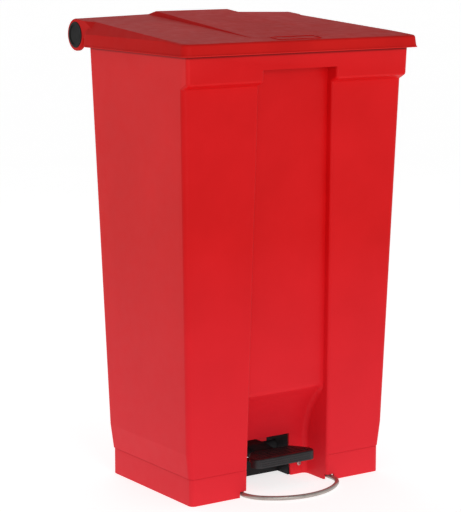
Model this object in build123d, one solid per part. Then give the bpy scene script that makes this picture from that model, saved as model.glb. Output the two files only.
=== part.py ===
from build123d import *

import math
import os

# Step-on waste bin, in millimetres. +Z is up, the pedal is at the front (-Y), and the
# origin is the centre of the base's footprint on the floor.

# ---- driving dimensions -------------------------------------------------------------
WALL = 4.0

# base band and tapered container
BASE_HALF_WIDTH = 202.1
BASE_REAR = 130.4
BASE_HEIGHT = 48.0
BASE_STEP = 1.5
GROOVE = 1.2
SHOULDER_TOP = 92.0
BODY_TOP = 781.0
HALF_WIDTH_AT_FLOOR = 206.5
FRONT_AT_FLOOR = -129.5
REAR_AT_FLOOR = 130.0
TAPER = 0.0305
FRONT_TAPER = 0.028
CORNER_RADIUS = 9.0
FLOOR_UNDERSIDE = 84.0
FLOOR_TOP = FLOOR_UNDERSIDE + WALL

# raised band across the top of the front
BAND_PROTRUSION = 14.0
BAND_CHAMFER_BOTTOM = 714.0
BAND_BOTTOM = 721.8
BAND_CORNER_RADIUS = 6.0
BAND_BROW_RADIUS = 6.0
NOTCH_TOP = 741.7

# front channel and the foot alcove below it
CHANNEL_HALF_AT_FLOOR = 86.5
CHANNEL_TAPER = 0.0148
CHANNEL_DEPTH = 13.5
MOUTH_RADIUS = 5.0
ALCOVE_TOP = 174.0
ALCOVE_TANGENT_HEIGHT = 60.0
ALCOVE_BACK = -65.0
ALCOVE_CORNER_RADIUS = 9.0
ALCOVE_LIP_RADIUS = 14.0
OPENING_HALF_TOP = 49.0
OPENING_HALF_BOTTOM = 54.0
OPENING_HEIGHT = 79.0

# rear channel for the lift rod
REAR_CHANNEL_HALF = 32.0
REAR_CHANNEL_FACE = 106.0
REAR_CHANNEL_SILL = 11.0

# lid
LID_BOTTOM = 769.5
LID_BOTTOM_HALF = 244.5
LID_BOTTOM_FRONT = -179.8
LID_FLARE = 0.159
LID_CORNER_RADIUS = 15.0
LID_RIM_REAR = 149.0
RIM_TOP = 791.5
ROOF_FRONT = -176.5
ROOF_FRONT_HEIGHT = 790.0
ROOF_SLOPE = 0.0813
ROOF_EDGE_DROP = 3.6
HIP_START = -150.0
HIP_REAR_HALF = 219.0
LID_EDGE_RADIUS = 5.0
LID_REAR_END = 196.0
WEDGE_HALF = 77.0
WEDGE_DRAFT = 4.0
WEDGE_FRONT = -135.0
WEDGE_REAR = 174.0
WEDGE_TOP = 826.4
CHEEK_FRONT = 128.5
CHEEK_BEVEL_REAR = 158.0
RIM_END_RADIUS = 12.0
RIM_BEAD = 1.0
RIM_BEAD_HEIGHT = 1.8
PLATE_HALF = 46.0
PLATE_DEPTH = 32.0
PLATE_Y = -148.0
PLATE_HEIGHT = 1.2
PLATE_BORDER = 2.5
PLATE_RADIUS = 8.0

# hinge
HINGE_Y = 194.9
HINGE_Z = 788.2
BARREL_RADIUS = 28.4
BARREL_BORE = 23.2
BARREL_HALF = 232.3
BARREL_END_RADIUS = 3.0
BARREL_RING = 7.0
BARREL_OPEN = (188, 345)
EAR_OPEN = (156, 348)
CRANK_OPEN = (142, 345)
CRANK_GAP_HALF = 25.5
HINGE_ROD_RADIUS = 5.0
RUNNING_FIT = 0.05
EAR_CENTRES = (52.0, 160.0)
EAR_THICKNESS = 16.0
EAR_BOSS_RADIUS = 15.0
GAP_CLEARANCE = 2.0
WEB_THICKNESS = 5.0

# pedal lever, rod and lid crank
LID_SWING = 75.0
AXLE_Y = -18.5
AXLE_Z = 48.0
AXLE_RADIUS = 5.0
ROD_RADIUS = 3.5
ROD_Y = 118.0
CRANK_REACH = 31.0
ROD_TRAVEL = 45.0
LEVER_THICKNESS = 3.0
LEVER_HALF = 20.0

BUSH_RADIUS = 6.5
CRANK_X = 8.5
CRANK_SLOT_PLAY = 1.3
ROD_LOWER_END = 27.0
ROD_UPPER_END = 18.0
SETBACK_LOW = 655.0
SETBACK_HIGH = 722.0
GUIDE_HEIGHTS = (200.0, 560.0)
TREAD_HALF = 65.0
TREAD_FRONT = -127.5
TREAD_TOP = 60.0
TREAD_UNDERSIDE = 52.0
TREAD_REAR_HALF = 43.0
TREAD_WIDE_DEPTH = 22.0
TREAD_DEPTH = 52.0
TREAD_CORNER_RADIUS = 13.0
TREAD_SKIRT = 4.0
TREAD_LIP_GROOVES = (47.0, 51.0, 55.0)
TREAD_LIP_BOTTOM = 43.5
CRADLE_HALF = 50.0
CRADLE_WALL = 4.0
CROSS_WALL_Y = -29.5

# pad under the lid for the crank, stiffening ribs, and the barrel's plugs
PAD_LEFT = -22.0
PAD_RIGHT = 42.0
PAD_FRONT = 112.0
PAD_REAR = 166.0
PAD_BOTTOM = 803.0
LID_RIBS = (60.0, 150.0)
PLUG_PROUD = 1.0

# screws
SHANK_RADIUS = 2.0
HEAD_RADIUS = 4.5
HEAD_HEIGHT = 2.4

# stabiliser wire
WIRE_RADIUS = 4.0
WIRE_Z = 5.5
WIRE_HALF = 96.0
WIRE_TIP = -199.5
WIRE_SIDE_ARC = 50.0
WIRE_END_Y = -30.0
WIRE_END_TOP = 44.0
WIRE_BOSS_BOTTOM = 25.0
CLIP_X = 106.0
CLIP_Y = -100.0
RIB_BOTTOM = WIRE_Z + WIRE_RADIUS + 0.4

# ---- derived dimensions --------------------------------------------------------------
BASE_FRONT = FRONT_AT_FLOOR - FRONT_TAPER * BASE_HEIGHT
ROD_ARM = ROD_Y - AXLE_Y
LOWER_PIN_Z = AXLE_Z - ROD_TRAVEL / 2
UPPER_PIN_Y = HINGE_Y - CRANK_REACH
UPPER_PIN_Z = HINGE_Z - ROD_TRAVEL / 2


# ---- helpers -------------------------------------------------------------------------
def half_width(z):
    return HALF_WIDTH_AT_FLOOR + TAPER * z


def front(z):
    return FRONT_AT_FLOOR - FRONT_TAPER * z


def rear(z):
    return REAR_AT_FLOOR + TAPER * z


def channel_half(z):
    return CHANNEL_HALF_AT_FLOOR - CHANNEL_TAPER * z


def roof(y):
    """Height of the lid's main outer plane at y."""
    return ROOF_FRONT_HEIGHT + ROOF_SLOPE * (y - ROOF_FRONT)


def box(x0, x1, y0, y1, z0, z1):
    """A box between two corners."""
    centre = Pos((x0 + x1) / 2, (y0 + y1) / 2, (z0 + z1) / 2)
    return centre * Box(x1 - x0, y1 - y0, z1 - z0)


def plan(half, y_front, y_rear, radius, z):
    """A rounded rectangle seen from above, at height z."""
    return Pos(0, (y_front + y_rear) / 2, z) * RectangleRounded(2 * half, y_rear - y_front, radius)


def side_profile(points, x0, x1):
    """A prism along X whose outline is drawn in the YZ plane."""
    outline = Polyline(*[(x0, y, z) for y, z in points], close=True)
    return extrude(make_face(outline), x1 - x0, dir=(1, 0, 0))


def front_profile(points, y0, y1):
    """A prism along Y whose outline is drawn in the XZ plane."""
    outline = Polyline(*[(x, y0, z) for x, z in points], close=True)
    return extrude(make_face(outline), y1 - y0, dir=(0, 1, 0))


def trim(solid, point, normal):
    """Takes away what lies beyond the plane, on the side that its normal points to."""
    return split(solid, bisect_by=Plane(origin=point, z_dir=normal), keep=Keep.BOTTOM)


def trim_above(solid, a, b, c):
    """Takes away what lies above the plane through three points."""
    first, second, third = Vector(*a), Vector(*b), Vector(*c)
    normal = (second - first).cross(third - first)
    if normal.Z < 0:
        normal = normal * -1
    return trim(solid, first, normal)


def edges_near(solid, test):
    """The edges whose middle point passes the test."""
    return [edge for edge in solid.edges() if test(edge.center())]


def rod_x(x0, x1, y, z, radius):
    """A round bar along X."""
    return Pos((x0 + x1) / 2, y, z) * Rot(0, 90, 0) * Cylinder(radius, x1 - x0)


def rod_y(x, y0, y1, z, radius):
    """A round bar along Y."""
    return Pos(x, (y0 + y1) / 2, z) * Rot(90, 0, 0) * Cylinder(radius, y1 - y0)


def rod_z(x, y, z0, z1, radius):
    """A round bar along Z."""
    return Pos(x, y, (z0 + z1) / 2) * Cylinder(radius, z1 - z0)


def ring_x(x0, x1, y, z, outer, inner):
    """A washer or sleeve along X."""
    return rod_x(x0, x1, y, z, outer) - rod_x(x0 - 1, x1 + 1, y, z, inner)


def mirrored(shape):
    """The shape and its mirror image across the middle plane."""
    return shape + mirror(shape, about=Plane.YZ)


# ---- container -----------------------------------------------------------------------
def leaning_block(low, high):
    """A block whose sides lean from one rectangle to another: (half, front, rear, z)."""
    half0, front0, rear0, z0 = low
    half1, front1, rear1, z1 = high
    rise = z1 - z0
    reach = max(half0, half1) + 20
    block = box(-reach, reach, min(front0, front1) - 20, max(rear0, rear1) + 20, z0, z1)
    block = trim(block, (half0, 0, z0), (rise, 0, half0 - half1))
    block = trim(block, (-half0, 0, z0), (-rise, 0, half0 - half1))
    block = trim(block, (0, rear0, z0), (0, rise, rear0 - rear1))
    return trim(block, (0, front0, z0), (0, -rise, front1 - front0))


def wall_section(z, inset):
    """The container's half width, front and rear at a height, drawn in by the inset."""
    return half_width(z) - inset, front(z) + inset, rear(z) - inset, z


def round_corners(block, radius):
    """Rounds the block's upright corners."""
    return fillet([edge for edge in block.edges() if abs(edge.tangent_at(0.5).Z) > 0.9], radius)


def band(inset, z_low):
    """The block of the raised band; drawn in by the wall it is the hollow behind it."""
    face = inset - BAND_PROTRUSION
    points = [(front(z_low) + 24, z_low), (front(z_low) + face, z_low)]
    if not inset:
        points[1] = (front(z_low), z_low)
        points.append((front(BAND_BOTTOM) + face, BAND_BOTTOM))
    top = BODY_TOP + (1 if inset else 0)
    points += [(front(top) + face, top), (front(top) + 24, top)]
    block = side_profile(points, -260, 260)
    for side in (-1, 1):
        edge = side * (HALF_WIDTH_AT_FLOOR - inset)
        block = trim(block, (edge, 0, 0), (side, 0, -TAPER))
    if not inset:
        brow = edges_near(block, lambda p: abs(p.X) < 1 and abs(p.Z - BAND_BOTTOM) < 1)
        block = fillet(brow, BAND_BROW_RADIUS)
    corners = edges_near(
        block, lambda p: abs(p.X) > 200 and BAND_BOTTOM < p.Z < top - 1 and p.Y < front(p.Z) + face + 1
    )
    return fillet(corners, BAND_CORNER_RADIUS - inset / 2)


def channel(offset, top):
    """The front channel from the floor to the notch in the band, widened by the offset."""
    low = -5.0
    points = [
        (-channel_half(low) - offset, low),
        (channel_half(low) + offset, low),
        (channel_half(top) + offset, top + offset),
        (-channel_half(top) - offset, top + offset),
    ]
    block = front_profile(points, -220, -60)
    return trim(block, (0, FRONT_AT_FLOOR + CHANNEL_DEPTH + offset, 0), (0, 1, FRONT_TAPER))


def alcove(offset):
    """The foot alcove: its back wall is upright at the bottom and curves forwards above."""
    back = ALCOVE_BACK + offset
    top = ALCOVE_TOP + offset
    lip = front(ALCOVE_TOP) + CHANNEL_DEPTH + offset
    outer = -200.0
    edges = [
        Line((-100, outer, -5), (-100, back, -5)),
        Line((-100, back, -5), (-100, back, ALCOVE_TANGENT_HEIGHT)),
        TangentArc((-100, back, ALCOVE_TANGENT_HEIGHT), (-100, lip, top), tangent=(0, 0, 1)),
        Line((-100, lip, top), (-100, outer, top)),
        Line((-100, outer, top), (-100, outer, -5)),
    ]
    block = extrude(make_face(edges), 200, dir=(1, 0, 0))
    for side in (-1, 1):
        edge = side * (CHANNEL_HALF_AT_FLOOR + offset)
        block = trim(block, (edge, 0, 0), (side, 0, CHANNEL_TAPER))
    corners = edges_near(
        block, lambda p: abs(p.X) > 60 and p.Y > lip + 2 and -4 < p.Z < top - 2
    )
    return fillet(corners, ALCOVE_CORNER_RADIUS + offset)


def alcove_opening():
    """The opening in the alcove's back wall that the pedal passes through."""
    points = [
        (-OPENING_HALF_BOTTOM, -1),
        (OPENING_HALF_BOTTOM, -1),
        (OPENING_HALF_TOP, OPENING_HEIGHT),
        (-OPENING_HALF_TOP, OPENING_HEIGHT),
    ]
    return front_profile(points, ALCOVE_BACK - 20, ALCOVE_BACK + 20)


def outer_shell():
    """The container's outside before anything is hollowed."""
    groove_z = BASE_HEIGHT - GROOVE
    outline = plan(BASE_HALF_WIDTH, BASE_FRONT, BASE_REAR, CORNER_RADIUS, 0)
    inner = GROOVE / 2
    neck = plan(
        BASE_HALF_WIDTH - inner, BASE_FRONT + inner, BASE_REAR - inner, CORNER_RADIUS - inner, groove_z
    )
    base = extrude(outline, groove_z) + extrude(neck, GROOVE)
    walls = leaning_block(wall_section(BASE_HEIGHT, 0), wall_section(BODY_TOP, 0))
    ledge = BASE_HALF_WIDTH + BASE_STEP
    rise = SHOULDER_TOP - BASE_HEIGHT
    spread = half_width(SHOULDER_TOP) - ledge
    for side in (-1, 1):
        walls = trim(walls, (side * ledge, 0, BASE_HEIGHT), (side * rise, 0, -spread))
    shell = base + round_corners(walls, CORNER_RADIUS) + band(0, BAND_CHAMFER_BOTTOM)
    return shell - channel(0, NOTCH_TOP) - alcove(0)


def soften(shell):
    """Rounds the channel's edges and the lip over the alcove."""
    lip_y = front(ALCOVE_TOP) + CHANNEL_DEPTH
    lip = edges_near(shell, lambda p: abs(p.X) < 20 and abs(p.Y - lip_y) < 3 and abs(p.Z - ALCOVE_TOP) < 3)
    shell = fillet(lip, ALCOVE_LIP_RADIUS)
    reach = BAND_PROTRUSION + 1.5
    sides = edges_near(
        shell,
        lambda p: abs(abs(p.X) - channel_half(p.Z)) < 0.5
        and front(p.Z) - reach < p.Y < front(p.Z) + 1.5
        and p.Z < NOTCH_TOP - 1,
    )
    return fillet(sides, MOUTH_RADIUS)


def rear_channel(offset):
    """The upright channel in the rear wall for the lift rod; a sill closes its foot."""
    half = REAR_CHANNEL_HALF + offset
    bottom = FLOOR_TOP - 1 if offset else REAR_CHANNEL_SILL
    return box(-half, half, REAR_CHANNEL_FACE - offset, 200, bottom, BODY_TOP + 5)


def hollow():
    """The space that holds the waste."""
    room = leaning_block(wall_section(FLOOR_TOP, WALL), wall_section(BODY_TOP + 1, WALL))
    room = round_corners(room, CORNER_RADIUS - WALL)
    behind_band = band(WALL, BAND_BOTTOM + WALL)
    room = room + behind_band
    return room - channel(WALL, NOTCH_TOP) - alcove(WALL) - rear_channel(WALL)


def underfloor():
    """The open space under the floor."""
    y0, y1 = BASE_FRONT + WALL, BASE_REAR - WALL
    outline = plan(BASE_HALF_WIDTH - WALL, y0, y1, CORNER_RADIUS - WALL, -1)
    return extrude(outline, FLOOR_UNDERSIDE + 1) - alcove(WALL)


def hinge_ears():
    """Upright ears on the rear wall that carry the hinge rod."""
    foot_low, foot_high = 700.0, BODY_TOP - 4
    inside = 3.0
    points = [
        (rear(foot_low) - inside, foot_low),
        (HINGE_Y + 6, HINGE_Z - EAR_BOSS_RADIUS + 1.4),
        (HINGE_Y, HINGE_Z),
        (HINGE_Y - 6, HINGE_Z + EAR_BOSS_RADIUS - 1.4),
        (rear(foot_high) - inside, foot_high),
    ]
    ears = None
    for centre in EAR_CENTRES:
        x0 = centre - EAR_THICKNESS / 2
        x1 = centre + EAR_THICKNESS / 2
        ear = side_profile(points, x0, x1) + rod_x(x0, x1, HINGE_Y, HINGE_Z, EAR_BOSS_RADIUS)
        ears = mirrored(ear) if ears is None else ears + mirrored(ear)
    return ears


def leg_details():
    """Inside each leg: a rib over the wire clip and a boss for the wire's turned-up end."""
    rib = box(CLIP_X - 18, CLIP_X + 8, CLIP_Y - 6, CLIP_Y + 6, RIB_BOTTOM, FLOOR_UNDERSIDE + 1)
    boss = rod_z(WIRE_HALF, WIRE_END_Y, WIRE_BOSS_BOTTOM, FLOOR_UNDERSIDE + 1, WIRE_RADIUS + 5)
    socket_top = WIRE_END_TOP + 2
    socket = rod_z(WIRE_HALF, WIRE_END_Y, WIRE_BOSS_BOTTOM - 1, socket_top, WIRE_RADIUS + RUNNING_FIT)
    return mirrored(rib + boss) - mirrored(socket)


def wire_notches():
    """The legs' bottom inner front corners are cut away around the wire."""
    return mirrored(box(80.0, WIRE_HALF + 6, -145.0, -120.0, -5, WIRE_Z + 5))


def bin_body():
    body = soften(outer_shell()) - rear_channel(0) - hollow() - underfloor()
    body = body - alcove_opening() - wire_notches()
    body = body + hinge_ears() + leg_details()
    return body - rod_x(-200, 200, HINGE_Y, HINGE_Z, HINGE_ROD_RADIUS)


# ---- lid -----------------------------------------------------------------------------
def flared_rim(inset, y_rear):
    """The lid's outline, drawn in slightly towards the top."""
    z0 = LID_BOTTOM - (10 if inset else 0)
    draw_in = inset + LID_FLARE * (z0 - LID_BOTTOM)
    outline = plan(
        LID_BOTTOM_HALF - draw_in, LID_BOTTOM_FRONT + draw_in, 260, LID_CORNER_RADIUS - inset, z0
    )
    block = extrude(outline, 70, taper=math.degrees(math.atan(LID_FLARE)))
    return trim(block, (0, y_rear, 0), (0, 1, 0))


def under_main_plane(block, drop):
    """Cuts a block off under the lid's main sloping plane."""
    start = ROOF_FRONT_HEIGHT - drop
    end = roof(LID_REAR_END) - drop
    return trim_above(block, (0, ROOF_FRONT, start), (9, ROOF_FRONT, start), (0, LID_REAR_END, end))


def under_hips(block, drop):
    """Cuts the roof's slight fall to each side, and the hips down to the rim."""
    end = roof(LID_REAR_END) - drop
    corner_x = LID_BOTTOM_HALF - LID_FLARE * (roof(HIP_START) - LID_BOTTOM) - drop / 2
    for side in (-1, 1):
        corner = (side * corner_x, HIP_START, roof(HIP_START) - drop)
        edge = (side * HIP_REAR_HALF, LID_REAR_END, end - ROOF_EDGE_DROP)
        middle = (side * WEDGE_HALF, LID_REAR_END, end)
        foot = (side * corner_x, LID_REAR_END, RIM_TOP - drop)
        block = trim_above(block, corner, edge, middle)
        block = trim_above(block, corner, edge, foot)
    return block


def wedge():
    """The raised wedge down the middle, which fades out towards the front."""
    half = WEDGE_HALF + WEDGE_DRAFT
    rear_low = roof(LID_REAR_END) - 2
    low = ROOF_FRONT_HEIGHT - 1
    points = [
        (WEDGE_FRONT, roof(WEDGE_FRONT) - 2),
        (WEDGE_FRONT, roof(WEDGE_FRONT) + 0.2),
        (WEDGE_REAR, WEDGE_TOP),
        (LID_REAR_END - 2, roof(LID_REAR_END)),
        (LID_REAR_END - 2, rear_low),
    ]
    block = side_profile(points, -half, half)
    for side in (-1, 1):
        base = (side * half, WEDGE_FRONT, roof(WEDGE_FRONT))
        base_rear = (side * half, WEDGE_REAR, roof(WEDGE_REAR))
        top = (side * WEDGE_HALF, WEDGE_REAR, WEDGE_TOP)
        block = trim_above(block, base, base_rear, top)
    return block


def lid_shell():
    rim = under_main_plane(flared_rim(0, LID_RIM_REAR), 0)
    top_edges = edges_near(
        rim, lambda p: p.Z > RIM_TOP - 8 and (abs(p.X) > 200 or p.Y < ROOF_FRONT + 5)
    )
    rim = under_hips(fillet(top_edges, LID_EDGE_RADIUS), 0)
    bead_half, bead_front = LID_BOTTOM_HALF + RIM_BEAD, LID_BOTTOM_FRONT - RIM_BEAD
    bead_plan = plan(bead_half, bead_front, 260, LID_CORNER_RADIUS + RIM_BEAD, LID_BOTTOM)
    bead = extrude(bead_plan, RIM_BEAD_HEIGHT)
    rim = rim + trim(bead, (0, LID_RIM_REAR, 0), (0, 1, 0))
    round_y, round_z = LID_RIM_REAR - RIM_END_RADIUS, LID_BOTTOM + RIM_END_RADIUS
    corner = box(-260, 260, round_y, LID_RIM_REAR + 1, LID_BOTTOM - 1, round_z)
    rim = rim - (corner - rod_x(-261, 261, round_y, round_z, RIM_END_RADIUS))
    cheeks = box(-BARREL_HALF, BARREL_HALF, CHEEK_FRONT, LID_REAR_END, BODY_TOP + 2.5, 840.0)
    cheeks = under_main_plane(cheeks, 0)
    for side in (-1, 1):
        end = roof(LID_REAR_END)
        near = roof(CHEEK_FRONT) - ROOF_EDGE_DROP
        far = end - ROOF_EDGE_DROP
        cheeks = trim_above(
            cheeks,
            (side * HIP_REAR_HALF, CHEEK_FRONT, near),
            (side * HIP_REAR_HALF, LID_REAR_END, far),
            (side * WEDGE_HALF, LID_REAR_END, end),
        )
        cheeks = trim_above(
            cheeks,
            (side * BARREL_HALF, CHEEK_FRONT, RIM_TOP + 6),
            (side * BARREL_HALF, CHEEK_BEVEL_REAR, near),
            (side * HIP_REAR_HALF, CHEEK_FRONT, near),
        )
    cheek_inner = BARREL_HALF - 2 * WALL
    rear_room = box(-cheek_inner, cheek_inner, 100.0, 220.0, 740.0, 840.0)
    inner = under_hips(under_main_plane(flared_rim(WALL, LID_RIM_REAR - WALL) + rear_room, WALL), WALL)
    clear_half = half_width(BODY_TOP) + 2
    body_corners = box(-clear_half, clear_half, 100.0, 220.0, 740.0, BODY_TOP + 1.5)
    return rim + cheeks + wedge() - inner - body_corners


def barrel():
    """The hinge barrel: open below between its end rings, with webs that turn on the rod."""
    tube = ring_x(-BARREL_HALF, BARREL_HALF, HINGE_Y, HINGE_Z, BARREL_RADIUS, BARREL_BORE)
    rims = tube.edges().filter_by(GeomType.CIRCLE)
    tube = fillet([edge for edge in rims if edge.radius > BARREL_BORE + 1], BARREL_END_RADIUS)
    open_half = BARREL_HALF - BARREL_RING
    tube = tube - barrel_gap(-open_half, open_half, *BARREL_OPEN)
    for x0, x1 in web_spans():
        tube = tube + rod_x(x0, x1, HINGE_Y, HINGE_Z, BARREL_BORE + 1)
    return tube


def web_spans():
    """Where the barrel's webs stand along X, both sides of every ear."""
    spans = []
    near = EAR_THICKNESS / 2 + GAP_CLEARANCE
    for centre in EAR_CENTRES:
        for low in (centre + near, centre - near - WEB_THICKNESS):
            spans.append((low, low + WEB_THICKNESS))
            spans.append((-low - WEB_THICKNESS, -low))
    return spans


def barrel_gap(x0, x1, start, end):
    """Clears the barrel's wall between two angles, for what reaches in from the front."""
    reach = BARREL_RADIUS + 3
    steps = 8
    points = [(HINGE_Y, HINGE_Z)]
    for step in range(steps + 1):
        angle = math.radians(start + (end - start) * step / steps)
        points.append((HINGE_Y + reach * math.cos(angle), HINGE_Z + reach * math.sin(angle)))
    return side_profile(points, x0, x1)


def label_frame():
    """A low raised border round the blank label area near the lid's front edge."""
    width, depth, radius = 2 * PLATE_HALF, PLATE_DEPTH, PLATE_RADIUS
    inside = RectangleRounded(width - 2 * PLATE_BORDER, depth - 2 * PLATE_BORDER, radius - PLATE_BORDER)
    border = RectangleRounded(width, depth, radius) - inside
    frame = extrude(Pos(0, PLATE_Y, ROOF_FRONT_HEIGHT - 2) * border, 12)
    return under_main_plane(frame, -PLATE_HEIGHT)


def lid():
    low_roof = roof(PAD_FRONT) - WALL + 1
    pad = box(PAD_LEFT, PAD_RIGHT, PAD_FRONT, PAD_REAR, PAD_BOTTOM, low_roof)
    bore = rod_x(-BARREL_HALF, BARREL_HALF, HINGE_Y, HINGE_Z, BARREL_BORE)
    solid = lid_shell() - bore + barrel() + pad
    near = EAR_THICKNESS / 2 + GAP_CLEARANCE
    for centre in EAR_CENTRES:
        solid = solid - mirrored(barrel_gap(centre - near, centre + near, *EAR_OPEN))
    solid = solid - barrel_gap(-CRANK_GAP_HALF, CRANK_X + CRANK_GAP_HALF, *CRANK_OPEN)
    stop_front = front(BODY_TOP) - BAND_PROTRUSION - 2
    stop = box(140.0, 160.0, stop_front, stop_front + 9, BODY_TOP + 0.3, roof(stop_front) - WALL + 1)
    ribs = None
    for x in LID_RIBS:
        rib = box(x - 1.5, x + 1.5, -150.0, 130.0, 788.0, 840.0)
        rib = under_main_plane(rib, WALL - 1)
        rib = trim(rib, (0, 0, roof(0) - 12), (0, ROOF_SLOPE, -1))
        ribs = mirrored(rib) if ribs is None else ribs + mirrored(rib)
    solid = solid + mirrored(stop) + ribs + label_frame()
    solid = solid - rod_x(-225, 225, HINGE_Y, HINGE_Z, BUSH_RADIUS)
    return solid - screw_holes(CRANK_SCREWS)


# ---- hinge ---------------------------------------------------------------------------
def hinge_rod():
    half = BARREL_HALF - BARREL_RING
    return rod_x(-half, half, HINGE_Y, HINGE_Z, HINGE_ROD_RADIUS)


def hinge_bushes():
    """A flanged bush in every web of the barrel; each flange faces its ear."""
    bushes = []
    bore = HINGE_ROD_RADIUS + RUNNING_FIT
    for x0, x1 in web_spans():
        middle = (x0 + x1) / 2
        nearest = min(EAR_CENTRES, key=lambda centre: abs(centre - abs(middle)))
        towards_ear = 1 if (nearest - abs(middle)) * middle > 0 else -1
        face = x1 if towards_ear > 0 else x0
        flange = sorted((face, face + towards_ear * 1.4))
        sleeve = rod_x(x0, x1, HINGE_Y, HINGE_Z, BUSH_RADIUS)
        collar = rod_x(flange[0], flange[1], HINGE_Y, HINGE_Z, BUSH_RADIUS + 2.5)
        bushes.append(sleeve + collar - rod_x(x0 - 5, x1 + 5, HINGE_Y, HINGE_Z, bore))
    return bushes


def hinge_plug(side):
    """A cap pressed into the end of the barrel, slightly proud of its rim."""
    outer = BARREL_HALF + PLUG_PROUD
    disc = rod_x(BARREL_HALF - BARREL_RING + 1, outer, HINGE_Y, HINGE_Z, BARREL_BORE)
    disc = fillet(disc.faces().sort_by(Axis.X)[-1].edges(), 1.6)
    dish = rod_x(outer - 0.8, outer + 1, HINGE_Y, HINGE_Z, BARREL_BORE - 5)
    plug = disc - dish
    return plug if side > 0 else mirror(plug, about=Plane.YZ)


# ---- lift rod and crank --------------------------------------------------------------
def crank_point(reach, across):
    """A point in the YZ plane: reach along the crank from the hinge, then across it."""
    angle = math.radians(180 + LID_SWING / 2)
    y = HINGE_Y + reach * math.cos(angle) - across * math.sin(angle)
    z = HINGE_Z + reach * math.sin(angle) + across * math.cos(angle)
    return y, z


def lid_crank():
    """A bent plate screwed under the lid; the lift rod's end slides in its slot."""
    flange = box(PAD_LEFT + 4, PAD_RIGHT - 4, PAD_FRONT + 2, PAD_REAR - 2, PAD_BOTTOM - 3, PAD_BOTTOM)
    outline = [
        (PAD_FRONT + 12, PAD_BOTTOM),
        crank_point(50, -11),
        crank_point(50, 11),
        crank_point(20, 11),
        crank_point(20, -11),
        (PAD_REAR - 2, PAD_BOTTOM),
    ]
    web = side_profile(outline, CRANK_X, CRANK_X + 3)
    web = fillet(edges_near(web, lambda p: p.Z < 770 and abs(p.X - CRANK_X - 1.5) < 0.2), 6)
    far_reach = math.hypot(CRANK_REACH, ROD_TRAVEL / 2)
    length = far_reach - CRANK_REACH + 2 * (ROD_RADIUS + CRANK_SLOT_PLAY) + 0.4
    y, z = crank_point((CRANK_REACH + far_reach) / 2, 0)
    angle = math.radians(180 + LID_SWING / 2)
    plane = Plane(origin=(CRANK_X - 1, y, z), x_dir=(0, math.cos(angle), math.sin(angle)), z_dir=(1, 0, 0))
    slot = extrude(plane * SlotOverall(length, 2 * (ROD_RADIUS + CRANK_SLOT_PLAY)), 5)
    return flange + web - slot - screw_holes(CRANK_SCREWS)


def lift_rod():
    """A round rod bent sideways at both ends, with a set-back to reach the crank."""
    path = FilletPolyline(
        (ROD_LOWER_END, ROD_Y, LOWER_PIN_Z),
        (0, ROD_Y, LOWER_PIN_Z),
        (0, ROD_Y, SETBACK_LOW),
        (0, UPPER_PIN_Y, SETBACK_HIGH),
        (0, UPPER_PIN_Y, UPPER_PIN_Z),
        (ROD_UPPER_END, UPPER_PIN_Y, UPPER_PIN_Z),
        radius=7,
    )
    start = Plane(origin=(ROD_LOWER_END, ROD_Y, LOWER_PIN_Z), z_dir=(-1, 0, 0))
    return sweep(start * Circle(ROD_RADIUS), path=path)


def rod_push_nuts():
    upper = CRANK_X + 3.6
    lower = LEVER_HALF + 0.6
    return [
        ring_x(upper, upper + 2, UPPER_PIN_Y, UPPER_PIN_Z, ROD_RADIUS + 4, ROD_RADIUS),
        ring_x(lower, lower + 2, ROD_Y, LOWER_PIN_Z, ROD_RADIUS + 4, ROD_RADIUS),
    ]


def rod_guide(z):
    """A moulded guide on the rear channel's face."""
    face = REAR_CHANNEL_FACE
    base = box(-27, 27, face, face + 3, z - 12, z + 12)
    block = box(-11, 11, face, ROD_Y + ROD_RADIUS + 5, z - 12, z + 12)
    block = fillet(edges_near(block, lambda p: p.Y > ROD_Y and abs(p.X) > 5 and abs(p.Z - z) < 5), 5)
    bore = rod_z(0, ROD_Y, z - 20, z + 20, ROD_RADIUS + RUNNING_FIT)
    return base + block - bore - screw_holes(guide_screw_places(z))


# ---- pedal ---------------------------------------------------------------------------
def lever_side(drop, end):
    """Side view of the lever: its web's upper line, and the lower edge of its flanges."""
    top = [(-120.5, 52.0), (-74.0, 52.0), (-34.0, 58.0), (-4.0, 58.0), (end, 33.5)]
    upper = [(y, z - drop) for y, z in top]
    lower = [(end, 17.0), (112.0, 16.0), (-4.0, 38.0), (-34.0, 38.0), (-76.0, 43.5), (-120.5, 43.5)]
    lower = [(y, z - drop * 2) for y, z in lower]
    return upper + lower


def pedal_lever():
    """A pressed channel from the tread to the lift rod, with a plate under the tread."""
    end = ROD_Y + 10
    lever = side_profile(lever_side(0, end), -LEVER_HALF, LEVER_HALF)
    inside = LEVER_HALF - LEVER_THICKNESS
    lever = lever - side_profile(lever_side(LEVER_THICKNESS, end + 5), -inside, inside)
    plate = box(-56, 56, -121.5, -78, 49, 52)
    plate = fillet(plate.edges().filter_by(Axis.Z), 8)
    lever = lever + plate
    lever = lever - rod_x(-30, 30, AXLE_Y, AXLE_Z, BUSH_RADIUS)
    fork = box(-ROD_RADIUS - 1, ROD_RADIUS + 1, ROD_Y - 10, end + 5, 26, 60)
    tilt = math.atan2(ROD_TRAVEL / 2, ROD_ARM)
    reach = (ROD_ARM + math.hypot(ROD_ARM, ROD_TRAVEL / 2)) / 2
    y = AXLE_Y + reach * math.cos(tilt)
    z = AXLE_Z - reach * math.sin(tilt)
    plane = Plane(origin=(0, y, z), x_dir=(0, math.cos(tilt), -math.sin(tilt)), z_dir=(1, 0, 0))
    slot = extrude(plane * SlotOverall(2 * ROD_RADIUS + 3.2, 2 * ROD_RADIUS + 0.7), 30)
    return lever - fork - slot - screw_holes(TREAD_SCREWS)


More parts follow.
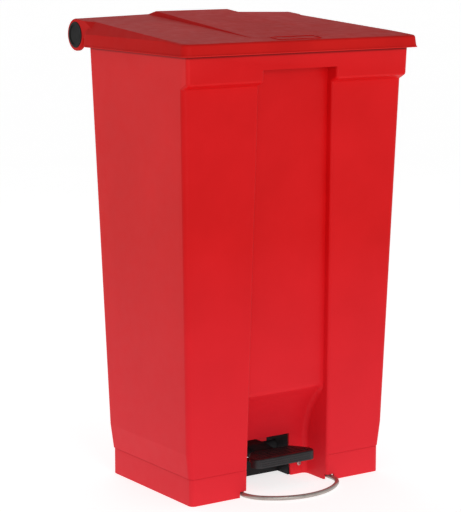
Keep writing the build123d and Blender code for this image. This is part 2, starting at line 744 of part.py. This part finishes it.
def tread_outline():
    """The tread seen from above: a wide front with rounded corners, narrowing to the rear."""
    half, half_rear = TREAD_HALF, TREAD_REAR_HALF
    y0, y1, y2 = TREAD_FRONT, TREAD_FRONT + TREAD_WIDE_DEPTH, TREAD_FRONT + TREAD_DEPTH
    right = [(half, y0), (half, y1), (half_rear, y2)]
    left = [(-x, y) for x, y in reversed(right)]
    face = make_face(Polyline(*right, *left, close=True))
    for y, radius in ((y0, TREAD_CORNER_RADIUS), (y1, 16), (y2, 10)):
        face = fillet(face.vertices().filter_by(lambda v: abs(v.Y - y) < 1), radius)
    return face


def pedal_tread():
    """The ribbed pad, with a grooved lip that hangs in front of the lever's plate."""
    face = tread_outline()
    pad = Pos(0, 0, TREAD_UNDERSIDE) * extrude(face, TREAD_TOP - TREAD_UNDERSIDE)
    pad = fillet(pad.faces().sort_by(Axis.Z)[-1].edges(), 2.5)
    for index in range(5):
        y = TREAD_FRONT + 9 + 8 * index
        reach = TREAD_HALF - 11 if y < TREAD_FRONT + TREAD_WIDE_DEPTH else TREAD_REAR_HALF - 2
        pad = pad - box(-reach, reach, y, y + 3, TREAD_TOP - 1.2, TREAD_TOP + 1)
    lip_height = TREAD_UNDERSIDE + 2 - TREAD_LIP_BOTTOM
    skirt = extrude(face, lip_height) - extrude(offset(face, -TREAD_SKIRT), lip_height)
    skirt = Pos(0, 0, TREAD_LIP_BOTTOM) * skirt
    skirt_end = TREAD_FRONT + TREAD_WIDE_DEPTH - TREAD_SKIRT
    skirt = trim(skirt, (0, skirt_end, 0), (0, 1, 0))
    tread = pad + skirt
    reach = TREAD_HALF - 8
    for z in TREAD_LIP_GROOVES:
        tread = tread - box(-reach, reach, TREAD_FRONT - 1, TREAD_FRONT + 0.8, z - 0.6, z + 0.6)
    return tread - screw_holes(TREAD_SCREWS)


def lever_bush(side):
    """A bush in the lever's flange with a long collar that centres it on the axle."""
    inner = LEVER_HALF - LEVER_THICKNESS
    outer = CRADLE_HALF - 0.3
    bore = AXLE_RADIUS + RUNNING_FIT
    bush = ring_x(inner, LEVER_HALF, AXLE_Y, AXLE_Z, BUSH_RADIUS, bore)
    bush = bush + ring_x(LEVER_HALF, outer, AXLE_Y, AXLE_Z, BUSH_RADIUS + 2, bore)
    return bush if side > 0 else mirror(bush, about=Plane.YZ)


def pedal_axle():
    half = CRADLE_HALF + CRADLE_WALL + 6
    return rod_x(-half, half, AXLE_Y, AXLE_Z, AXLE_RADIUS)


def axle_push_nuts():
    low = CRADLE_HALF + CRADLE_WALL
    nut = ring_x(low, low + 2, AXLE_Y, AXLE_Z, AXLE_RADIUS + 4, AXLE_RADIUS)
    return [nut, mirror(nut, about=Plane.YZ)]


def pedal_cradle():
    """The moulding behind the opening that holds the axle: two cheeks and a cross wall."""
    back_of_wall = ALCOVE_BACK + WALL
    outer = CRADLE_HALF + CRADLE_WALL
    cheek = box(CRADLE_HALF, outer, back_of_wall, 6, 0.5, FLOOR_UNDERSIDE)
    flange = box(outer - 1, outer + 28, back_of_wall, back_of_wall + 4, 6, 56)
    foot = box(outer - 1, outer + 14, -12, 2, FLOOR_UNDERSIDE - 4, FLOOR_UNDERSIDE)
    cross = box(-outer, outer, CROSS_WALL_Y, CROSS_WALL_Y + CRADLE_WALL, 0.5, 30)
    cradle = mirrored(cheek + flange + foot) + cross
    cradle = cradle - rod_x(-90, 90, AXLE_Y, AXLE_Z, AXLE_RADIUS)
    return cradle - screw_holes(CRADLE_SCREWS)


# ---- stabiliser wire -----------------------------------------------------------------
def stabiliser_wire():
    """A wire loop in front of the base: a wide arc between two tighter ones, and two legs."""
    depth = BASE_FRONT - WIRE_TIP
    tight = WIRE_SIDE_ARC
    wide = ((WIRE_HALF - tight) ** 2 + depth**2 - tight**2) / (2 * (depth - tight))
    wide_y = WIRE_TIP + wide
    lean = math.atan2(BASE_FRONT - wide_y, WIRE_HALF - tight)
    meet = (wide * math.cos(lean), wide_y + wide * math.sin(lean))
    half_lean = lean / 2
    side_mid = (WIRE_HALF - tight + tight * math.cos(half_lean), BASE_FRONT + tight * math.sin(half_lean))
    bend = 12.0
    low = WIRE_Z
    lift = bend * math.sqrt(0.5)
    half_path = [
        ((WIRE_HALF, WIRE_END_Y, WIRE_END_TOP), (WIRE_HALF, WIRE_END_Y, low + bend)),
        (
            (WIRE_HALF, WIRE_END_Y, low + bend),
            (WIRE_HALF, WIRE_END_Y - bend + lift, low + bend - lift),
            (WIRE_HALF, WIRE_END_Y - bend, low),
        ),
        ((WIRE_HALF, WIRE_END_Y - bend, low), (WIRE_HALF, BASE_FRONT, low)),
        ((WIRE_HALF, BASE_FRONT, low), (*side_mid, low), (*meet, low)),
    ]
    edges = []
    for points in half_path:
        edges.append(Line(*points) if len(points) == 2 else ThreePointArc(*points))
    edges.append(ThreePointArc((*meet, low), (0, WIRE_TIP, low), (-meet[0], meet[1], low)))
    for points in reversed(half_path):
        flipped = [(-x, y, z) for x, y, z in reversed(points)]
        edges.append(Line(*flipped) if len(flipped) == 2 else ThreePointArc(*flipped))
    start = Plane(origin=(WIRE_HALF, WIRE_END_Y, WIRE_END_TOP), z_dir=(0, 0, -1))
    return sweep(start * Circle(WIRE_RADIUS), path=Wire(edges))


def wire_clip(side):
    """A saddle strip round the wire, screwed up into the leg's rib."""
    y0, y1 = CLIP_Y - 5, CLIP_Y + 5
    strip = 1.2
    loop = rod_y(WIRE_HALF, y0, y1, WIRE_Z, WIRE_RADIUS + 0.1 + strip)
    tab = box(WIRE_HALF, CLIP_X + 6, y0, y1, RIB_BOTTOM - strip, RIB_BOTTOM)
    clip = trim(loop + tab, (0, 0, RIB_BOTTOM), (0, 0, 1))
    clip = clip - rod_y(WIRE_HALF, y0 - 1, y1 + 1, WIRE_Z, WIRE_RADIUS)
    clip = clip - screw_holes(CLIP_SCREWS[:1])
    return clip if side > 0 else mirror(clip, about=Plane.YZ)


# ---- screws --------------------------------------------------------------------------
def guide_screw_places(z):
    face = REAR_CHANNEL_FACE + 3
    return [((x, face, z), (0, -1, 0), 6.5) for x in (-20, 20)]


CRANK_PLACES = ((-10, 126), (-10, 150), (28, 126), (28, 150))
TREAD_PLACES = ((-45, -112), (45, -112), (-32, -88), (32, -88))
CRANK_SCREWS = [((x, y, PAD_BOTTOM - 3), (0, 0, 1), 8.0) for x, y in CRANK_PLACES]
TREAD_SCREWS = [((x, y, TREAD_UNDERSIDE - 3), (0, 0, 1), 7.0) for x, y in TREAD_PLACES]
CLIP_SCREWS = [((x, CLIP_Y, RIB_BOTTOM - 1.2), (0, 0, 1), 12.0) for x in (CLIP_X, -CLIP_X)]
CRADLE_SCREWS = [((x, ALCOVE_BACK, 20.0), (0, 1, 0), 8.0) for x in (-72, 72)]
CRADLE_SCREWS += [((x, -5, FLOOR_UNDERSIDE - 4), (0, 0, 1), 7.0) for x in (-61, 61)]
GUIDE_SCREWS = guide_screw_places(GUIDE_HEIGHTS[0]) + guide_screw_places(GUIDE_HEIGHTS[1])


def screw_holes(screws):
    """Round holes that the screws' shanks fill."""
    holes = None
    for point, direction, length in screws:
        shank = Pos(0, 0, length / 2) * Cylinder(SHANK_RADIUS, length)
        hole = Plane(origin=point, z_dir=direction) * shank
        holes = hole if holes is None else holes + hole
    return holes


def pan_screw(point, direction, length):
    """A pan-head screw: its head stands on the point, and its shank goes the way given."""
    head = Pos(0, 0, -HEAD_HEIGHT / 2) * Cylinder(HEAD_RADIUS, HEAD_HEIGHT)
    head = fillet(head.faces().sort_by(Axis.Z)[0].edges(), HEAD_HEIGHT * 0.6)
    blade = Pos(0, 0, -HEAD_HEIGHT) * Box(HEAD_RADIUS, 1.0, 1.6)
    shank = Pos(0, 0, length / 2) * Cylinder(SHANK_RADIUS, length)
    return Plane(origin=point, z_dir=direction) * (head + shank - blade - Rot(0, 0, 90) * blade)


def screws(places):
    return [pan_screw(*place) for place in places]


# ---- the pieces ----------------------------------------------------------------------
def write(name, shape):
    """Writes one node; a list is a group of separate solids."""
    if isinstance(shape, list):
        shape = Compound(children=[solid for item in shape for solid in item.solids()])
    export_step(shape, f"parts/{name}.step")


def main():
    os.makedirs("parts", exist_ok=True)
    body_holes = screw_holes(CRADLE_SCREWS + GUIDE_SCREWS + CLIP_SCREWS)
    write("bin_body", bin_body() - body_holes)
    write("lid", lid())
    write("hinge_rod", hinge_rod())
    write("hinge_bushes", hinge_bushes())
    write("hinge_plug_left", hinge_plug(-1))
    write("hinge_plug_right", hinge_plug(1))
    write("lid_crank", lid_crank())
    write("crank_screws", screws(CRANK_SCREWS))
    write("lift_rod", lift_rod())
    write("rod_push_nuts", rod_push_nuts())
    write("rod_guide_lower", rod_guide(GUIDE_HEIGHTS[0]))
    write("rod_guide_upper", rod_guide(GUIDE_HEIGHTS[1]))
    write("guide_screws", screws(GUIDE_SCREWS))
    write("pedal_lever", pedal_lever())
    write("pedal_tread", pedal_tread())
    write("tread_screws", screws(TREAD_SCREWS))
    write("lever_bush_left", lever_bush(-1))
    write("lever_bush_right", lever_bush(1))
    write("pedal_axle", pedal_axle())
    write("axle_push_nuts", axle_push_nuts())
    write("pedal_cradle", pedal_cradle())
    write("cradle_screws", screws(CRADLE_SCREWS))
    write("stabiliser_wire", stabiliser_wire())
    write("wire_clip_left", wire_clip(-1))
    write("wire_clip_right", wire_clip(1))
    write("clip_screws", screws(CLIP_SCREWS))


main()
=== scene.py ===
import bpy
import math
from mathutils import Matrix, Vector

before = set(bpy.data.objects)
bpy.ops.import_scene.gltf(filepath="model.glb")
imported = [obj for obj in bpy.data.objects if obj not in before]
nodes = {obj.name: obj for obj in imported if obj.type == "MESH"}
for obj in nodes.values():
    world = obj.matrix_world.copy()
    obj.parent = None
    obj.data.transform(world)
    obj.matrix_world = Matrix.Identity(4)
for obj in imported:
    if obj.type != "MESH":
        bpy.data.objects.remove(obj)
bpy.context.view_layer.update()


# ---- node helpers ----------------------------------------------------------------------
class Surface:
    """A node material that is built up one layer at a time."""

    def __init__(self, name):
        self.material = bpy.data.materials.new(name)
        self.material.use_nodes = True
        self.tree = self.material.node_tree
        self.shader = self.tree.nodes["Principled BSDF"]
        self.coordinates = self.add("ShaderNodeTexCoord")
        self.place = self.coordinates.outputs["Object"]

    def add(self, kind, **settings):
        node = self.tree.nodes.new(kind)
        for key, value in settings.items():
            setattr(node, key, value)
        return node

    def link(self, source, target):
        self.tree.links.new(source, target)

    def noise(self, scale, detail=3.0, stretch=(1, 1, 1), roughness=0.5):
        """Noise over the object; scale is in features per metre."""
        mapping = self.add("ShaderNodeMapping")
        mapping.inputs["Scale"].default_value = stretch
        self.link(self.place, mapping.inputs["Vector"])
        texture = self.add("ShaderNodeTexNoise")
        texture.inputs["Scale"].default_value = scale
        texture.inputs["Detail"].default_value = detail
        texture.inputs["Roughness"].default_value = roughness
        self.link(mapping.outputs["Vector"], texture.inputs["Vector"])
        return texture.outputs["Fac"]

    def ramp(self, source, stops):
        """A colour ramp; each stop is (position, grey level) or (position, colour)."""
        ramp = self.add("ShaderNodeValToRGB")
        elements = ramp.color_ramp.elements
        while len(elements) < len(stops):
            elements.new(0.5)
        for element, (position, value) in zip(elements, stops):
            element.position = position
            colour = (value,) * 3 if isinstance(value, (int, float)) else value
            element.color = (*colour, 1.0)
        self.link(source, ramp.inputs["Fac"])
        return ramp.outputs["Color"]

    def remap(self, source, low, high, out_low, out_high):
        """The source's range from low to high, stretched to another range and clamped there."""
        node = self.add("ShaderNodeMapRange")
        limits = {"From Min": low, "From Max": high, "To Min": out_low, "To Max": out_high}
        for key, value in limits.items():
            node.inputs[key].default_value = value
        self.link(source, node.inputs["Value"])
        return node.outputs["Result"]

    def scaled(self, source, amount):
        """A mask from 0 to 1, made weaker."""
        return self.remap(source, 0, 1, 0.0, amount)

    def mix(self, factor, first, second, mode="MIX"):
        """A blend of two colours; each argument is a number, a colour or another node's output."""
        node = self.add("ShaderNodeMix", data_type="RGBA", blend_type=mode)
        sockets = (node.inputs[0], node.inputs[6], node.inputs[7])
        for value, socket in zip((factor, first, second), sockets):
            if isinstance(value, (int, float)):
                socket.default_value = value
            elif isinstance(value, tuple):
                socket.default_value = (*value, 1.0)
            else:
                self.link(value, socket)
        return node.outputs[2]

    def bump(self, height, strength, distance, below=None):
        """Relief from a height; the distance is in metres, and it can lie over another relief."""
        node = self.add("ShaderNodeBump")
        node.inputs["Strength"].default_value = strength
        node.inputs["Distance"].default_value = distance
        self.link(height, node.inputs["Height"])
        if below is not None:
            self.link(below, node.inputs["Normal"])
        return node.outputs["Normal"]

    def edges(self, low, high):
        """A mask of outward edges, for wear, thin moulded corners and painted edge highlights."""
        geometry = self.add("ShaderNodeNewGeometry")
        return self.remap(geometry.outputs["Pointiness"], low, high, 0.0, 1.0)

    def upward(self, vector):
        """The part of a vector that points up, in the object's own frame."""
        split = self.add("ShaderNodeSeparateXYZ")
        self.link(vector, split.inputs["Vector"])
        return split.outputs["Z"]

    def height(self):
        """Height in the object's own frame, in metres."""
        return self.upward(self.place)

    def facing_up(self):
        """From -1 on an underside to 1 on a top."""
        return self.upward(self.coordinates.outputs["Normal"])

    def finish(self, colour=None, roughness=None, normal=None, **values):
        """Links the layers to the shader and sets its plain values."""
        for key, value in values.items():
            self.shader.inputs[key.replace("_", " ")].default_value = value
        for key, source in (("Base Color", colour), ("Roughness", roughness), ("Normal", normal)):
            if source is not None:
                self.link(source, self.shader.inputs[key])
        return self.material


def red_plastic(name, low, high, gloss, shine, container=False):
    """Moulded polyethylene: a fine grain, faint flow mottling, paler edges that are partly rubbed
    wear and partly a painted highlight, and painted shade on undersides; on the container also
    painted floor-bounce light near the floor and a painted shadow under the lid.
    """
    s = Surface(name)
    mottle = s.ramp(s.noise(scale=9, detail=4), [(0.3, low), (0.7, high)])
    flow = s.ramp(s.noise(scale=3, detail=2, stretch=(1, 1, 0.25)), FLOW_LINES)
    colour = s.mix(1.0, mottle, flow, "MULTIPLY")
    pale = tuple(min(1.0, c * 1.25 + 0.02) for c in high)
    # paler edges: partly rubbed wear, partly a painted highlight along the edges
    colour = s.mix(s.scaled(s.edges(0.52, 0.64), RUBBED_EDGES_AND_HIGHLIGHT), colour, pale)
    scratches = s.noise(scale=40, detail=6, stretch=(1, 1, 0.35), roughness=0.7)
    scuffs = s.ramp(scratches, [(0.58, 0.0), (0.72, 1.0)])
    colour = s.mix(s.scaled(scuffs, FAINT), colour, pale)
    if container:
        # painted light: paler and pinker towards the floor, for light bounced up from the floor
        colour = s.mix(s.remap(s.height(), *NEAR_FLOOR, 0.0, FLOOR_BOUNCE_LIGHT), colour, PAINTED_FLOOR_BOUNCE)
        # painted shadow: a dark band on the body just under the lid's rim
        under_lid = s.ramp(s.remap(s.height(), *UNDER_LID, 0.0, 1.0), PAINTED_LID_SHADOW)
        colour = s.mix(under_lid, colour, PAINTED_SHADE)
    # painted shade: darker on faces that point down
    underside = s.remap(s.facing_up(), *FLAT_UNDERSIDE, 0.0, UNDERSIDE_SHADE)
    colour = s.mix(underside, colour, PAINTED_SHADE)
    roughness = s.remap(s.noise(scale=55, detail=5), 0.3, 0.7, gloss - 0.05, gloss + 0.06)
    grain = s.bump(s.noise(scale=900, detail=2), strength=0.12, distance=0.0003)
    waves = s.bump(s.noise(scale=5, detail=2), strength=0.25, distance=0.0015, below=grain)
    return s.finish(colour, roughness, waves, Specular_IOR_Level=shine)


def small_plastic(name, low, high, gloss, shine=0.12, worn=(0.05, 0.05, 0.052)):
    """A small moulding or coated piece: worn edges and a little dust over a fine grain."""
    s = Surface(name)
    colour = s.ramp(s.noise(scale=30, detail=4), [(0.3, low), (0.7, high)])
    colour = s.mix(s.scaled(s.edges(0.52, 0.62), WORN_EDGES), colour, worn)
    dust = s.ramp(s.noise(scale=120, detail=6, roughness=0.75), [(0.55, 0.0), (0.75, 1.0)])
    colour = s.mix(s.scaled(dust, FAINT), colour, DUST)
    roughness = s.remap(s.noise(scale=70, detail=4), 0.3, 0.7, gloss - 0.06, gloss + 0.08)
    grain = s.bump(s.noise(scale=1200, detail=2), strength=0.25, distance=0.0003)
    return s.finish(colour, roughness, grain, Specular_IOR_Level=shine)


def steel(name, low, high, gloss, stretch=(1, 1, 1), grain=0.15, metal=1.0):
    """Drawn or plated steel: a fine grain, in lines where it's stretched, and dull patches."""
    s = Surface(name)
    colour = s.ramp(s.noise(scale=60, detail=5), [(0.3, low), (0.7, high)])
    patches = s.ramp(s.noise(scale=25, detail=5, roughness=0.7), [(0.5, 1.0), (0.75, 0.82)])
    colour = s.mix(1.0, colour, patches, "MULTIPLY")
    drawn = s.noise(scale=150, detail=5, stretch=stretch)
    roughness = s.remap(drawn, 0.3, 0.7, gloss - 0.07, gloss + 0.1)
    fine = s.noise(scale=1500, detail=3, stretch=stretch)
    normal = s.bump(fine, strength=grain, distance=0.0002)
    return s.finish(colour, roughness, normal, Metallic=metal)


# ---- materials -------------------------------------------------------------------------
# colours of painted light and shade: dark painted shade under the lid and on undersides, and paler
# painted floor-bounce light on the container near the floor; grey dust on small pieces
PAINTED_SHADE = (0.10, 0.002, 0.003)
PAINTED_FLOOR_BOUNCE = (0.82, 0.028, 0.048)
DUST = (0.2, 0.19, 0.18)
# where it lies, from its start to its full strength: heights in metres, and how far down a
# face looks (-1 is straight down)
NEAR_FLOOR = (0.45, 0.0)
UNDER_LID = (0.760, 0.780)
FLAT_UNDERSIDE = (-0.90, -0.99)
# how strongly each layer shows, from 0 to 1
FAINT = 0.05
WORN_EDGES = 0.5
# paler edges on the red plastic: partly rubbed wear, partly a painted highlight
RUBBED_EDGES_AND_HIGHLIGHT = 0.55
# strength of the painted floor-bounce light
FLOOR_BOUNCE_LIGHT = 0.6
# strength of the painted shade on undersides
UNDERSIDE_SHADE = 0.75
# ramps of (position, strength or brightness); the painted lid shadow's positions are between
# the heights of UNDER_LID
PAINTED_LID_SHADOW = [(0.2, 0.0), (0.38, 0.8), (0.5, 0.8), (0.65, 0.0)]
FLOW_LINES = [(0.35, 0.94), (0.65, 1.0)]
# noise that is stretched along Z, for lines along an upright rod
UPRIGHT_LINES = (1, 1, 0.05)
NYLON_WORN = (0.84, 0.82, 0.78)

# each piece's two colours are linear; the noise runs from one to the other
body_red = red_plastic(
    "body_red", (0.62, 0.004, 0.005), (0.68, 0.006, 0.008), gloss=0.40, shine=0.10, container=True
)
lid_red = red_plastic("lid_red", (0.55, 0.009, 0.008), (0.61, 0.012, 0.010), gloss=0.54, shine=0.05)
black = small_plastic("moulded_black", (0.004, 0.003, 0.004), (0.007, 0.006, 0.007), gloss=0.42)
tread = small_plastic(
    "tread_black", (0.010, 0.009, 0.010), (0.018, 0.016, 0.018), gloss=0.4, shine=0.3
)
coated = small_plastic("coated_steel", (0.004, 0.004, 0.005), (0.008, 0.007, 0.008), gloss=0.34)
cap_black = small_plastic(
    "cap_black", (0.005, 0.005, 0.005), (0.008, 0.008, 0.008), gloss=0.4, shine=0.08
)
nylon = small_plastic(
    "nylon", (0.70, 0.68, 0.62), (0.78, 0.76, 0.70), gloss=0.42, shine=0.3, worn=NYLON_WORN
)
rod_steel = steel(
    "rod_steel", (0.42, 0.41, 0.39), (0.55, 0.54, 0.52), gloss=0.32, stretch=UPRIGHT_LINES
)
wire_steel = steel(
    "wire_steel", (0.40, 0.37, 0.34), (0.48, 0.44, 0.41), gloss=0.38, grain=0.03, metal=0.75
)
zinc = steel("zinc", (0.48, 0.48, 0.47), (0.6, 0.6, 0.59), gloss=0.36)
dark_spring = steel("dark_spring", (0.1, 0.1, 0.11), (0.16, 0.16, 0.17), gloss=0.4)

LOOKS = {
    "bin_body": body_red,
    "lid": lid_red,
    "hinge_plug_left": cap_black,
    "hinge_plug_right": cap_black,
    "hinge_rod": rod_steel,
    "hinge_bushes": nylon,
    "lid_crank": zinc,
    "lift_rod": rod_steel,
    "rod_push_nuts": dark_spring,
    "rod_guide_lower": black,
    "rod_guide_upper": black,
    "pedal_lever": coated,
    "pedal_tread": tread,
    "lever_bush_left": black,
    "lever_bush_right": black,
    "pedal_axle": rod_steel,
    "axle_push_nuts": dark_spring,
    "pedal_cradle": black,
    "stabiliser_wire": wire_steel,
    "wire_clip_left": zinc,
    "wire_clip_right": zinc,
}
for name, node in nodes.items():
    node.data.materials.clear()
    node.data.materials.append(LOOKS.get(name, zinc))


# ---- stage -----------------------------------------------------------------------------
FLOOR_HALF = 40.0
FLOOR_GLOW = 0.74
PAPER_GREYS = [(0.3, 0.58), (0.7, 0.60)]
# the world's light: (how high it comes from, grey level)
SKY = ((0.1, 0.75), (0.75, 0.3))
# name, place and size in metres, power in watts; each lamp looks at the bin's middle
BIN_MIDDLE = (0, 0, 0.42)
LAMPS = (
    ("key", (-0.8, -3.3, 1.3), (1.3, 1.3), 24.5),
    ("left_fill", (-3.0, -0.6, 0.25), (1.4, 0.8), 1.0),
    ("top_rear", (0.4, 1.8, 2.4), (1.6, 1.2), 8),
)
# the photograph's viewpoint: place in metres, angles in radians, lens in millimetres
EYE = (-1.93791, -2.81489, 0.98936)
YAW, PITCH = 0.59485, 0.17156
SENSOR_WIDTH, FOCAL_LENGTH = 36.0, 136.75
NEAREST, FARTHEST = 0.05, 100.0


def studio():
    """A pale floor with a little light of its own, so that it stays white under the bin."""
    paper = Surface("stage_paper")
    paper.finish(paper.ramp(paper.noise(scale=2), PAPER_GREYS), Roughness=0.9)
    paper.shader.inputs["Emission Color"].default_value = (1, 1, 1, 1)
    paper.shader.inputs["Emission Strength"].default_value = FLOOR_GLOW
    mesh = bpy.data.meshes.new("stage_floor")
    half = FLOOR_HALF
    corners = [(-half, -half, 0), (half, -half, 0), (half, half, 0), (-half, half, 0)]
    mesh.from_pydata(corners, [], [(0, 1, 2, 3)])
    mesh.materials.append(paper.material)
    floor = bpy.data.objects.new("stage_floor", mesh)
    bpy.context.scene.collection.objects.link(floor)


def area_light(name, place, target, size, power):
    """A soft rectangular lamp that looks at the target."""
    lamp = bpy.data.lights.new(name, "AREA")
    lamp.shape = "RECTANGLE"
    lamp.size, lamp.size_y = size
    lamp.energy = power
    holder = bpy.data.objects.new(name, lamp)
    holder.location = place
    aim = Vector(target) - Vector(place)
    holder.rotation_euler = aim.to_track_quat("-Z", "Y").to_euler()
    bpy.context.scene.collection.objects.link(holder)


def lights():
    """The lamps, and a world that is brighter below than above."""
    for name, place, size, power in LAMPS:
        area_light(name, place, BIN_MIDDLE, size, power)
    world = bpy.data.worlds.new("studio")
    bpy.context.scene.world = world
    world.use_nodes = True
    tree = world.node_tree
    place = tree.nodes.new("ShaderNodeTexCoord")
    split = tree.nodes.new("ShaderNodeSeparateXYZ")
    ramp = tree.nodes.new("ShaderNodeValToRGB")
    for element, (height, level) in zip(ramp.color_ramp.elements, SKY):
        element.position = height
        element.color = (level, level, level, 1.0)
    tree.links.new(place.outputs["Generated"], split.inputs["Vector"])
    tree.links.new(split.outputs["Z"], ramp.inputs["Fac"])
    tree.links.new(ramp.outputs["Color"], tree.nodes["Background"].inputs["Color"])


def camera():
    """The camera at EYE, looking along +Y, then turned by YAW towards +X and down by PITCH."""
    data = bpy.data.cameras.new("camera")
    data.sensor_width = SENSOR_WIDTH
    data.lens = FOCAL_LENGTH
    data.clip_start, data.clip_end = NEAREST, FARTHEST
    eye = bpy.data.objects.new("camera", data)
    level = math.cos(PITCH)
    ahead = Vector((math.sin(YAW) * level, math.cos(YAW) * level, -math.sin(PITCH)))
    eye.location = EYE
    eye.rotation_euler = ahead.to_track_quat("-Z", "Y").to_euler()
    bpy.context.scene.collection.objects.link(eye)
    bpy.context.scene.camera = eye


studio()
lights()
camera()
bpy.context.scene.view_settings.view_transform = "Standard"
